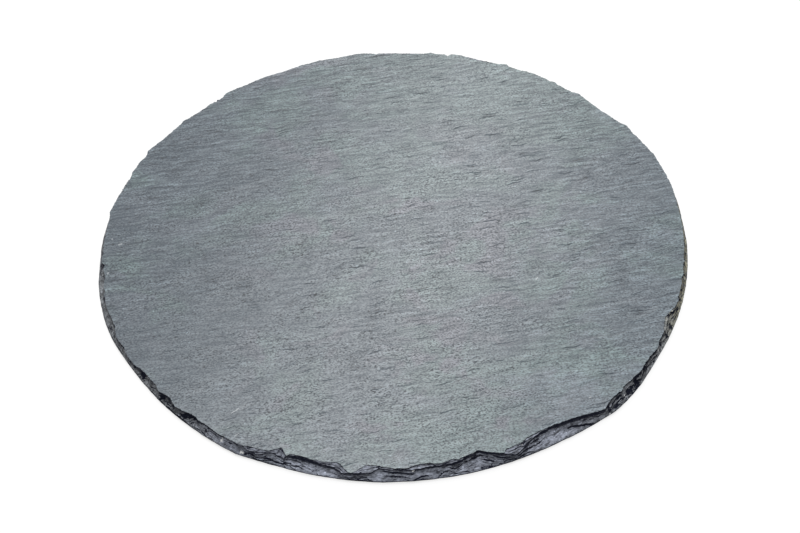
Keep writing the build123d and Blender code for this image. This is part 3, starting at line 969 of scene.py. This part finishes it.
long_lines = use_group(hairline_group, Place=place, Stretch=14.0, Scale=430.0, Thickness=0.16, Share=0.7)
short_lines = use_group(hairline_group, Place=place, Stretch=5.0, Scale=520.0, Thickness=0.16, Share=0.6)
scarps_and_shadows = sum_of("MAXIMUM", long_lines["Mask"], product_of(short_lines["Mask"], 0.7))
scarps_and_shadows = product_of(scarps_and_shadows, factor_of(streaky, 0.85, 1.1))
painted_glints = use_group(speck_group, Place=place, Scale=800.0, Share=0.03)["Mask"]
pale_marks = marks_of(place, (
    (26.5, 53.6, 0.2, 0.6, 0, 0, 0.6), (70.4, -33.9, 0.2, 1.8, 55, 0, 0.4),
    (-139.5, 1.9, 0.2, 1.2, 20, 0, 0.6), (-143.7, -18.2, 0.2, 0.8, 80, 0, 0.5),
    (-144.0, 5.8, 0.2, 0.6, 90, 0, 0.5), (-76.3, -109.7, 0.2, 3.6, 36, 0, 0.28),
    (-75.0, -108.7, 0.2, 1.5, 46, 0, 0.36), (-74.6, -123.2, 0.2, 2.4, 34, 0, 0.28),
    (-78.8, -118.8, 0.2, 1.2, 38, 0, 0.28), (88.0, -110.1, 0.2, 0.6, 30, 0, 0.5),
))
dark_marks = marks_of(place, (
    (55.8, 89.9, 0.2, 6.0, 4, 0, 0.5), (62.3, 52.9, 0.2, 5.0, 8, 0, 0.5),
    (29.0, -96.6, 0.2, 6.0, 20, 0, 0.45), (35.2, -96.9, 0.2, 6.0, -14, 0, 0.45),
    (-10.0, -99.0, 0.2, 7.0, 2, 0, 0.45), (13.8, -37.4, 0.2, 5.0, 12, 0, 0.5),
    (-51.8, -43.7, 0.2, 4.0, 30, 0, 0.5),
))
worn_and_shaded = wear_and_shade_of(shader)
speckled = product_of(
    sum_of("SUBTRACT", grain["Grain"], 0.5),
    factor_of(grain["Coarse"], 3.5, 6.5),
    factor_of(streaky, 1.0, 0.78),
)
streaked = product_of(
    sum_of("SUBTRACT", grain["Streak"], 0.5),
    ramp_of(side[1], -125 * mm, -30 * mm, 1.5, 2.3),
    ramp_of(sum_of("SUBTRACT", side[1], side[0]), 60 * mm, 150 * mm, 1.0, 1.5),
    ramp_of(side[0], 30 * mm, 110 * mm, 1.0, 1.45),
)
# where the right rim is painted lighter
lit_right_rim = product_of(ramp_of(reach, 90 * mm, 130 * mm), ramp_of(side[0], 20 * mm, 90 * mm))
tone = product_of(
    sum_of("MINIMUM", sum_of("MAXIMUM", sum_of("ADD", 1.0, speckled), 0.12), 1.45),
    sum_of("ADD", 1.0, streaked),
    swing_of(blotch["Shade"], 1.05),
    # painted shade to the left, and painted light to the front, to the lower right and on the right rim
    factor_of(leftward, 1.0, 0.91),
    ramp_of(side[1], -60 * mm, -115 * mm, 1.0, 1.16),
    ramp_of(sum_of("SUBTRACT", side[0], side[1]), 50 * mm, 180 * mm, 1.0, 1.09),
    factor_of(lit_right_rim, 1.0, 1.11),
    # paler where rubbed, darker where the mesh paints shade on the scarps
    ramp_of(worn_and_shaded, -1.0, 1.0, 0.86, 1.14, "LINEAR"),
    # the scarps darkened as their painted shadow
    factor_of(scarps_and_shadows, 1.0, 0.28),
    factor_of(dark_marks, 1.0, 0.35),
    # painted glints on single grains
    factor_of(painted_glints, 1.0, 1.9),
)
# the dark strokes are a little bluer than the stone between them
tinged = blend_of(ramp_of(tone, 0.3, 1.1, kind="LINEAR"), (0.78, 0.97, 1.17, 1), (1.02, 1.0, 0.98, 1))
tinged = blend_of(1.0, blotch["Colour"], tinged, "MULTIPLY")
colour = blend_of(1.0, tinged, grey_of(tone), "MULTIPLY")
colour = blend_of(product_of(pale_marks, 0.6), colour, (0.50, 0.53, 0.55, 1))
polish = sum_of("ADD", grain["Grain"], grain["Streak"])
pitted = sum_of("MAXIMUM", scarps_and_shadows, ramp_of(speckled, -1.1, -0.45, 1.0, 0.0))
rough = sum_of("MULTIPLY_ADD", pitted, 0.18, ramp_of(polish, 0.78, 1.20, 0.405, 0.345))
grained = product_of(grain["Grain"], factor_of(streaky, 0.38, 0.31))
height = sum_of("MULTIPLY_ADD", streaked, 0.28, grained)
height = sum_of("SUBTRACT", height, product_of(scarps_and_shadows, 0.7))
finish_material(shader, colour, rough, height, 0.9, 0.115 * mm)
slab_data.materials.append(riven_face)

# Round the rim: a place by how far round, how far out and how far up it is
rim_group, given, made = new_group(
    "round_the_rim",
    {"Place": vector_kind, "Stretch": 4.0, "Squash": 1.0, "Rise": 1.0},
    {"Place": vector_kind},
)
parts = axes_of(given["Place"])
reach = sum_of("ADD", product_of(parts[0], parts[0]), product_of(parts[1], parts[1]))
reach = sum_of("SQRT", reach)
arc = product_of(sum_of("ARCTAN2", parts[1], parts[0]), slab_radius)
waver = sum_of("SUBTRACT", noise_of(given["Place"], 260, 2), 0.5)
reach = sum_of("MULTIPLY_ADD", waver, 2.4 * mm, reach)
rolled = vector_of(
    sum_of("DIVIDE", arc, given["Stretch"]),
    product_of(reach, given["Squash"]),
    product_of(parts[2], given["Rise"]),
)
rim_group.links.new(rolled, made["Place"])

# Broken edge: grey where it faces up and a sheet lies bare, dark where it faces sideways and the sheets are
# broken across, partly their own colour and partly painted shade, and black in the crevices as painted
# shade with a ragged border. It has painted glints on single grains. Rust has stained it cream on the
# right.
broken_edge, shader, place = new_material("broken_slate")
upward = axes_of(add_node(shader.id_data, "ShaderNodeNewGeometry").outputs["Normal"])[2]
# lighter where the face looks up: partly a split sheet lying bare, partly painted light from above
bare_and_lit = ramp_of(upward, 0.22, 0.80)
rolled = use_group(rim_group, Place=place, Stretch=5.0, Squash=1.0, Rise=2.2)["Place"]
strata = noise_of(rolled, 620, 4, 0.66, 0.3)
downward = use_group(rim_group, Place=place, Stretch=1.0, Squash=0.3, Rise=0.3)["Place"]
splinter = noise_of(downward, 760, 3, 0.62, 0.5)
grain = use_group(grain_group, Place=place, Size=0.9)
fine = noise_of(place, 1500, 3, 0.65)
crack = sum_of("ABSOLUTE", sum_of("SUBTRACT", noise_of(rolled, 430, 3, 0.6, 0.5), 0.5))
crack = ramp_of(crack, 0.004, 0.030, 1.0, 0.0)
cracked = product_of(crack, ramp_of(noise_of(place, 190, 2), 0.44, 0.58))
painted_glints = use_group(speck_group, Place=place, Scale=1100.0, Share=0.05)["Mask"]
white_marks = marks_of(place, (
    (-81.7, -124.4, 2.3, 1.6, 327, 80, 0.75), (-72.6, -130.9, 3.4, 0.7, 331, 40, 0.70),
    (-71.8, -131.4, 3.1, 0.6, 331, 80, 0.55), (5.0, -146.5, 1.9, 0.6, 2, 10, 0.45),
    (54.6, -135.2, 0.5, 0.5, 22, 20, 0.40), (96.7, -117.6, 3.9, 0.5, 40, 80, 0.70),
    (123.9, -81.9, 1.2, 1.8, 56, 75, 0.55), (104.2, -107.7, 3.4, 1.0, 44, 80, 0.50),
    (111.1, -101.0, 3.2, 0.4, 47, 70, 0.50), (-143.6, -18.8, 0.8, 0.7, 97, 30, 0.4),
))
worn_and_shaded = wear_and_shade_of(shader)
# painted black shade in the crevices, where the mesh notes it, with a ragged border
painted_crevice_shade = sum_of("MULTIPLY_ADD", sum_of("SUBTRACT", fine, 0.5), 1.0, product_of(worn_and_shaded, -1.0))
painted_crevice_shade = sum_of("MULTIPLY_ADD", sum_of("SUBTRACT", 0.5, splinter), 0.55, painted_crevice_shade)
painted_crevice_shade = ramp_of(painted_crevice_shade, 0.34, 0.88)
towards_right = axes_of(place)[0]
sideways = ramp_of(sum_of("ABSOLUTE", towards_right), 70 * mm, 120 * mm)
snapped = blend_of(sideways, (0.087, 0.096, 0.121, 1), (0.093, 0.097, 0.108, 1))
cloven = blend_of(sideways, (0.274, 0.296, 0.354, 1), (0.280, 0.297, 0.317, 1))
colour = blend_of(bare_and_lit, snapped, cloven)
stained = product_of(ramp_of(towards_right, 122 * mm, 140 * mm), ramp_of(splinter, 0.34, 0.52))
colour = blend_of(stained, colour, (0.246, 0.238, 0.178, 1))
splintered = product_of(sum_of("SUBTRACT", splinter, 0.5), factor_of(sideways, 0.6, 3.0))
tone = product_of(
    sum_of("MINIMUM", sum_of("MAXIMUM", swing_of(strata, 3.4), 0.2), 1.25),
    sum_of("MAXIMUM", sum_of("ADD", 1.0, splintered), 0.2),
    sum_of("MAXIMUM", swing_of(grain["Grain"], 2.2), 0.2),
    # darker where the mesh paints shade, paler where it is rubbed
    ramp_of(worn_and_shaded, -0.4, 0.4, 0.54, 1.30, "LINEAR"),
    factor_of(cracked, 1.0, 0.52),
    # painted glints on single grains
    factor_of(painted_glints, 1.0, 2.2),
)
colour = blend_of(1.0, colour, grey_of(tone), "MULTIPLY")
colour = blend_of(painted_crevice_shade, colour, (0.007, 0.009, 0.019, 1))
colour = blend_of(white_marks, colour, (0.72, 0.73, 0.73, 1))
rough = ramp_of(grain["Grain"], 0.3, 0.7, 0.46, 0.62)
rough = sum_of("MAXIMUM", rough, product_of(painted_crevice_shade, 0.97))
shader.inputs["Specular IOR Level"].default_value = 0.18
height = sum_of("MULTIPLY_ADD", splinter, 0.7, strata)
height = sum_of("MULTIPLY_ADD", grain["Grain"], 0.4, height)
height = sum_of("SUBTRACT", height, product_of(cracked, 0.5))
finish_material(shader, colour, rough, height, 0.9, 0.20 * mm)
slab_data.materials.append(broken_edge)

# Underside: the same riven stone, duller, for nothing has rubbed it clean
riven_underside, shader, place = new_material("underside_slate")
blotch = use_group(blotch_group, Place=place, Blue=(0.138, 0.156, 0.175, 1),
                   Green=(0.150, 0.168, 0.172, 1), Purple=(0.140, 0.145, 0.165, 1))
grain = use_group(grain_group, Place=place, Size=0.8)
scarps_and_shadows = use_group(hairline_group, Place=place, Scale=240.0, Share=0.5)["Mask"]
tone = product_of(
    swing_of(grain["Grain"], 1.2),
    swing_of(grain["Streak"], 0.9),
    swing_of(blotch["Shade"], 0.7),
    # the scarps darkened as their painted shadow
    factor_of(scarps_and_shadows, 1.0, 0.5),
)
colour = blend_of(1.0, blotch["Colour"], grey_of(tone), "MULTIPLY")
rough = ramp_of(grain["Streak"], 0.3, 0.7, 0.58, 0.72)
height = sum_of("ADD", grain["Grain"], grain["Streak"])
finish_material(shader, colour, rough, height, 0.8, 0.12 * mm)
slab_data.materials.append(riven_underside)

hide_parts("slate_slab")
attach(slate_round, "root")

# The rubber feet
# Each foot is a small moulded bumper of black rubber: a shallow dish in its sole lets it grip,
# and its side tapers to free it from the mould. It is stuck to the slate with an adhesive disc.


def turned_piece(name, stations, low, high, edge_waver=0.0, seed=0):
    """A round piece that fills a box, built of rings, each with a share of the piece's radius and of
    its height, bottom to top."""
    sides = 96
    turn = np.arange(sides) * 2 * math.pi / sides
    radius = (high.x - low.x) / 2
    rise = high.z - low.z
    waver = 1 - edge_waver * (1 + layered_noise(2.5 * np.cos(turn), 2.5 * np.sin(turn), seed, 2)) / 2
    rings = []
    for radius_share, height_share in stations:
        reach = radius * radius_share * waver
        level = np.full(sides, rise * height_share)
        rings.append(np.stack([reach * np.cos(turn), reach * np.sin(turn), level], axis=1))
    last = len(stations) * sides
    points = rings + [np.array([[0, 0, rise * stations[0][1]], [0, 0, rise * stations[-1][1]]])]
    faces = []
    for ring in range(len(stations) - 1):
        for side in range(sides):
            here = ring * sides + side
            beside = ring * sides + (side + 1) % sides
            faces.append((here, beside, beside + sides, here + sides))
    for side in range(sides):
        beside = (side + 1) % sides
        faces.append((beside, side, last))
        faces.append((last - sides + side, last - sides + beside, last + 1))
    data = bpy.data.meshes.new(name)
    data.from_pydata(np.concatenate(points).tolist(), [], faces)
    data.shade_smooth()
    data.set_sharp_from_angle(angle=math.radians(50))
    piece = new_object(name, data)
    piece.location = ((low.x + high.x) / 2, (low.y + high.y) / 2, low.z)
    return piece


# from the dish in the sole, round the grip ring and the lower edge, up to the parting line
bumper_stations = (
    (0.10, 0.140), (0.30, 0.135), (0.52, 0.120), (0.60, 0.080), (0.64, 0.020), (0.68, 0.0), (0.80, 0.0),
    (0.93, 0.0), (0.955, 0.020), (0.975, 0.065), (0.987, 0.130), (0.992, 0.220), (0.996, 0.500),
    (1.0, 0.560), (1.0, 0.600), (0.996, 0.660), (0.990, 0.900), (0.984, 0.960), (0.965, 1.0), (0.60, 1.0),
    (0.25, 1.0),
)
foot_rubber, shader, place = new_material("moulded_rubber")
bloom = noise_of(place, 420, 4, 0.6)
pitted = noise_of(place, 5200, 2, 0.5)
above_table = axes_of(place)[2]
dusty = product_of(ramp_of(above_table, 0.0, 0.25 * mm, 1.0, 0.0), ramp_of(bloom, 0.40, 0.62))
rubber_black = blend_of(ramp_of(bloom, 0.35, 0.7), (0.020, 0.020, 0.021, 1), (0.034, 0.034, 0.035, 1))
rubber_black = blend_of(product_of(dusty, 0.5), rubber_black, (0.130, 0.125, 0.115, 1))
rough = ramp_of(bloom, 0.3, 0.7, 0.52, 0.68)
finish_material(shader, rubber_black, rough, pitted, 0.5, 0.02 * mm)
for name in sorted(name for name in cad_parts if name.startswith("foot_")):
    low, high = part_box(name)
    bumper = turned_piece("bumper" + name.removeprefix("foot"), bumper_stations, low, high)
    bumper.data.materials.append(foot_rubber)
    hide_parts(name)
    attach(bumper, "root")

# The adhesive discs
# Each disc is die cut from clear acrylic foam, tacky on both sides. It is pressed between the
# foot and the slate, so its edge bulges a little and is not quite round.
pad_stations = (
    (0.30, 0.0), (0.70, 0.0), (0.970, 0.0), (0.990, 0.15), (1.0, 0.40), (1.0, 0.65), (0.988, 0.88),
    (0.965, 1.0), (0.70, 1.0), (0.30, 1.0),
)
acrylic_film, shader, place = new_material("acrylic_adhesive")
cloudy = noise_of(place, 700, 3, 0.6)
cells = noise_of(place, 4200, 2, 0.5)
amber = blend_of(ramp_of(cloudy, 0.35, 0.65), (0.60, 0.58, 0.52, 1), (0.67, 0.65, 0.58, 1))
rough = ramp_of(cloudy, 0.3, 0.7, 0.24, 0.38)
finish_material(shader, amber, rough, cells, 0.5, 0.02 * mm)
for seed, name in enumerate(pad_names):
    low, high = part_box(name)
    label = name.replace("adhesive_disc", "sticky_pad")
    sticky_pad = turned_piece(label, pad_stations, low, high, 0.02, 400 + seed)
    sticky_pad.data.materials.append(acrylic_film)
    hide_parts(name)
    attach(sticky_pad, "root")

# The table top and the studio light
# The board lies on a plain white sweep under one tall soft lamp behind it, with pale light
# from all round. The sweep shows white and keeps the board's faint shadow.


def seen_of(tree):
    """1 where the camera, a mirror or clear glass looks, and 0 for the light that falls on the board."""
    path = tree.nodes.new("ShaderNodeLightPath").outputs
    seen = sum_of("ADD", path["Is Camera Ray"], path["Is Glossy Ray"])
    return sum_of("ADD", seen, path["Is Transmission Ray"], clamp=True)


half_size = 3.0
further_back = 0.8
sweep_data = bpy.data.meshes.new("table_top")
sweep_data.from_pydata(
    [(x * half_size, y * half_size + further_back, 0) for x, y in ((-1, -1), (1, -1), (1, 1), (-1, 1))],
    [],
    [(0, 1, 2, 3)],
)
table_top = new_object("table_top", sweep_data)
sweep_white = bpy.data.materials.new("sweep_white")
sweep_white.use_nodes = True
tree = sweep_white.node_tree
shader = tree.nodes["Principled BSDF"]
seen = seen_of(tree)
# the shadow close round the board
hemmed_in = add_node(tree, "ShaderNodeAmbientOcclusion", {"Distance": 2.0 * mm}, samples=16)
open_to_light = ramp_of(hemmed_in.outputs["AO"], 0.45, 0.95, 0.28, 1.0)
fill_inputs(shader, {
    "Base Color": blend_of(seen, (0.80, 0.80, 0.80, 1), (0.12, 0.12, 0.12, 1)),
    "Roughness": 0.9,
    "Specular IOR Level": 0.0,
    "Emission Color": (1, 1, 1, 1),
    "Emission Strength": product_of(seen, open_to_light, 0.93),
})
from_below = tree.nodes.new("ShaderNodeNewGeometry").outputs["Backfacing"]
clear = tree.nodes.new("ShaderNodeBsdfTransparent")
surface = add_node(tree, "ShaderNodeMixShader", {0: from_below, 1: shader.outputs[0], 2: clear.outputs[0]})
fill_inputs(tree.nodes["Material Output"], {"Surface": surface.outputs[0]})
sweep_data.materials.append(sweep_white)

surround = bpy.data.worlds.new("studio")
bpy.context.scene.world = surround
surround.use_nodes = True
tree = surround.node_tree
seen = seen_of(tree)
fill_inputs(tree.nodes["Background"], {"Color": (1, 1, 1, 1), "Strength": factor_of(seen, 0.62, 1.0)})

lamp_data = bpy.data.lights.new("soft_lamp", "AREA")
lamp_data.shape = "RECTANGLE"
lamp_data.size = 0.2
lamp_data.size_y = 1.1
lamp_data.energy = 9.85
soft_lamp = new_object("soft_lamp", lamp_data)
soft_lamp.location = (-0.05, 0.74, 1.08)
soft_lamp.rotation_euler = (-Vector(soft_lamp.location)).to_track_quat("-Z", "Y").to_euler()
soft_lamp.rotation_euler.rotate_axis("Z", math.radians(-29))

bpy.context.scene.view_settings.view_transform = "Standard"
